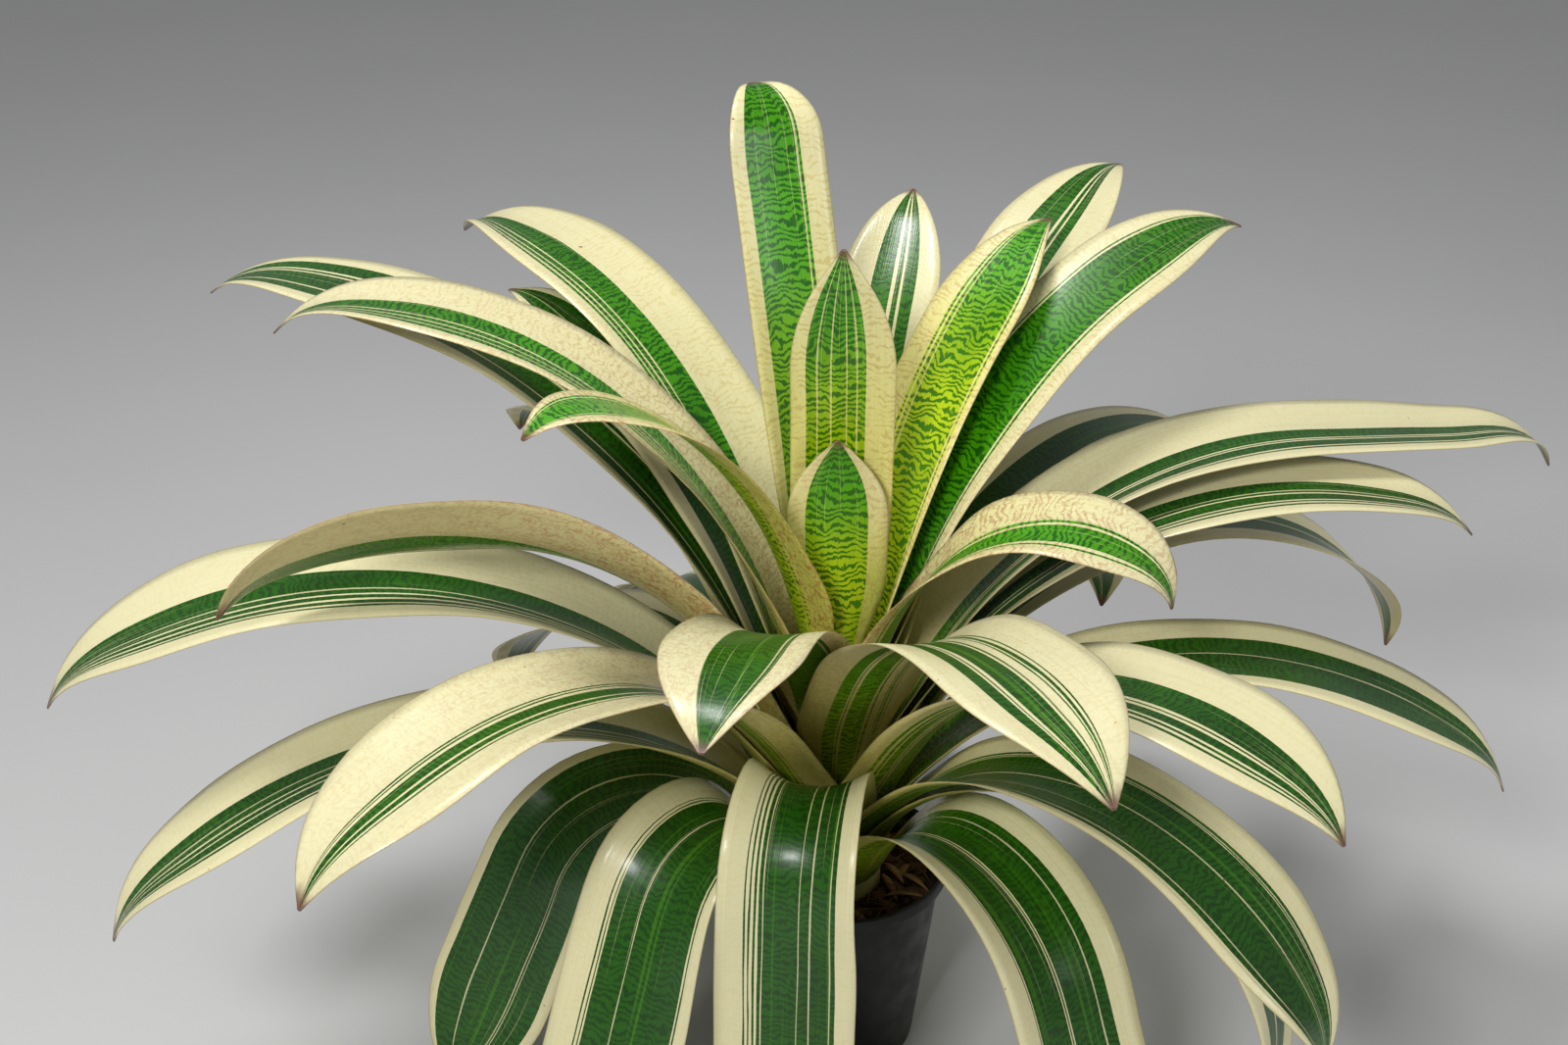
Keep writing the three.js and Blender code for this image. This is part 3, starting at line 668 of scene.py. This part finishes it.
chips = []
for _ in range(CHIPS):
    a, r = rng.uniform(0, 2 * math.pi), math.sqrt(rng.uniform(0.030 ** 2, 0.0525 ** 2))
    size = rng.uniform(0.0035, 0.0105)
    r = min(r, 0.0545 - size / 2)
    z = float(mound(r)) + rng.uniform(0.0002, 0.0016)
    chips.append(chunk((r * math.cos(a), r * math.sin(a), z), (size, size * rng.uniform(0.4, 0.8),
                       size * rng.uniform(0.15, 0.35)), rng.uniform(0, 6.3), rng.uniform(-0.4, 0.4)))
verts, faces = gathered(chips)
bark = new_object("bark_chips", verts, faces, smooth_shading=False)
bark.data.materials.append(plain_material(
    "bark", (rgb(74, 46, 29), rgb(112, 74, 48), rgb(150, 112, 80)), 160.0, (0.75, 0.95), (0.8, 0.0008)))
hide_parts("bark_mulch")

def ribbon(points, widths, thickness, side):
    """A thin strip along points, with a lengthwise fold."""
    points = np.array(points, float)
    run = np.gradient(points, axis=0)
    run /= np.linalg.norm(run, axis=1, keepdims=True)
    over = np.cross(run, side)
    over /= np.linalg.norm(over, axis=1, keepdims=True)
    up = np.cross(over, run)
    half = np.array(widths)[:, None] / 2
    ring = [points + over * half + up * half * 0.3, points + up * thickness,
            points - over * half + up * half * 0.3, points - up * thickness]
    verts = list(np.stack(ring, 1).reshape(-1, 3))
    faces = [(3, 2, 1, 0), tuple(range(len(verts) - 4, len(verts)))]
    for j in range(len(points) - 1):
        for k in range(4):
            m = (k + 1) % 4
            faces.append((4 * j + k, 4 * j + m, 4 * j + 4 + m, 4 * j + 4 + k))
    return verts, faces


def litter(count, low, high, width, thickness, arch):
    """Dry strips lying on the mulch between the stem and the wall."""
    strips = []
    for _ in range(count):
        a, r = rng.uniform(0, 2 * math.pi), rng.uniform(0.031, 0.047)
        length, way = rng.uniform(low, high), rng.uniform(0, 2 * math.pi)
        share = np.linspace(-0.5, 0.5, 9)
        x = r * math.cos(a) + share * length * math.cos(way)
        y = r * math.sin(a) + share * length * math.sin(way)
        out = np.hypot(x, y)
        keep = np.clip(out, 0.0275, 0.0540) / out
        x, y = x * keep, y * keep
        z = mound(np.hypot(x, y)) + 0.0022 + arch * (1 - (2 * share) ** 2) * rng.uniform(0.3, 1)
        strips.append(ribbon(np.stack([x, y, z], 1), width * (1.15 - (2 * share) ** 2), thickness,
                             (0, 0, 1)))
    return gathered(strips)


for name, recipe, tones in (
        ("dry_leaf_scraps", (22, 0.014, 0.034, 0.0038, 0.0003, 0.0024),
         (rgb(140, 98, 58), rgb(176, 134, 86), rgb(92, 58, 34))),
        ("fibres", (80, 0.010, 0.032, 0.0008, 0.0003, 0.0034),
         (rgb(84, 54, 34), rgb(128, 88, 54), rgb(168, 128, 86)))):
    verts, faces = litter(*recipe)
    strips = new_object(name, verts, faces)
    welded(strips, 1e-7)
    strips.data.materials.append(plain_material(name, tones, 140.0, (0.55, 0.8), (0.5, 0.0006)))

stem_low, stem_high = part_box("stem")
STEM_RADIUS = 0.0258
TAPER_FROM = 0.106
TAPER = 0.62 / 1.8  # radius lost per height

profile = [(0, stem_low.z)]
for z in np.linspace(stem_low.z, stem_high.z - 0.001, 40):
    r = STEM_RADIUS - TAPER * max(0.0, z - TAPER_FROM)
    profile.append((max(0.0015, r) - 0.0004 * (0.5 + 0.5 * math.sin(z * 2400)), z))
profile.append((0, stem_high.z))
verts, faces = lathe(profile, 48)
stem = new_object("ringed_stem", verts, faces)
welded(stem)
stem.data.materials.append(plain_material(
    "stem_skin", (rgb(172, 164, 96), rgb(140, 128, 70), rgb(96, 74, 44)), 60.0, (0.5, 0.7), (0.4, 0.0005)))
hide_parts("stem")


# ---------------------------------------------------------------- floor, lights, camera

def stage_material():
    material = bpy.data.materials.new("pale_floor")
    material.use_nodes = True
    n = Nodes(material.node_tree)
    shade = n.noise(n.add("ShaderNodeTexCoord").outputs["Object"], 3.0, 2.0)
    colour = n.mix(shade, (0.60, 0.60, 0.60, 1), (0.64, 0.64, 0.63, 1))
    shader = n.add("ShaderNodeBsdfPrincipled", {"Base Color": colour, "Roughness": 0.9})
    n.add("ShaderNodeOutputMaterial", {0: shader.outputs[0]})
    return material


floor_mesh = bpy.data.meshes.new("floor")
floor_mesh.from_pydata([(-9, -9, 0), (9, -9, 0), (9, 9, 0), (-9, 9, 0)], [], [(0, 1, 2, 3)])
floor = bpy.data.objects.new("floor", floor_mesh)
floor_mesh.materials.append(stage_material())
bpy.context.scene.collection.objects.link(floor)

world = bpy.data.worlds.new("studio")
world.use_nodes = True
world.node_tree.nodes["Background"].inputs[0].default_value = (0.97, 0.98, 1.0, 1)
world.node_tree.nodes["Background"].inputs[1].default_value = 0.24
bpy.context.scene.world = world
bpy.context.scene.view_settings.view_transform = "Standard"


def area_light(name, place, target, size, power, colour=(1, 1, 1)):
    light = bpy.data.lights.new(name, "AREA")
    light.shape = "RECTANGLE"
    light.size, light.size_y = size
    light.energy = power
    light.color = colour
    lamp = bpy.data.objects.new(name, light)
    lamp.location = place
    aim = np.array(target) - np.array(place)
    lamp.rotation_euler = Vector(aim).to_track_quat("-Z", "Y").to_euler()
    bpy.context.scene.collection.objects.link(lamp)


area_light("key", (-0.55, -1.35, 1.35), (0, 0, 0.25), (0.42, 0.32), 17.5)
area_light("fill", (1.6, -0.9, 0.9), (0, 0, 0.2), (0.9, 0.7), 7)
area_light("top", (-0.30, 0.15, 1.75), (0, 0, 0.3), (0.42, 0.34), 13)

CAMERA_AT = (-0.0263, -0.9624, 0.8033)
CAMERA_TILT = 63  # degrees from looking straight down

camera_data = bpy.data.cameras.new("camera")
camera_data.lens = 50
camera_data.sensor_width = 36
camera = bpy.data.objects.new("camera", camera_data)
camera.location = CAMERA_AT
camera.rotation_euler = (math.radians(CAMERA_TILT), 0, 0)
bpy.context.scene.collection.objects.link(camera)
bpy.context.scene.camera = camera
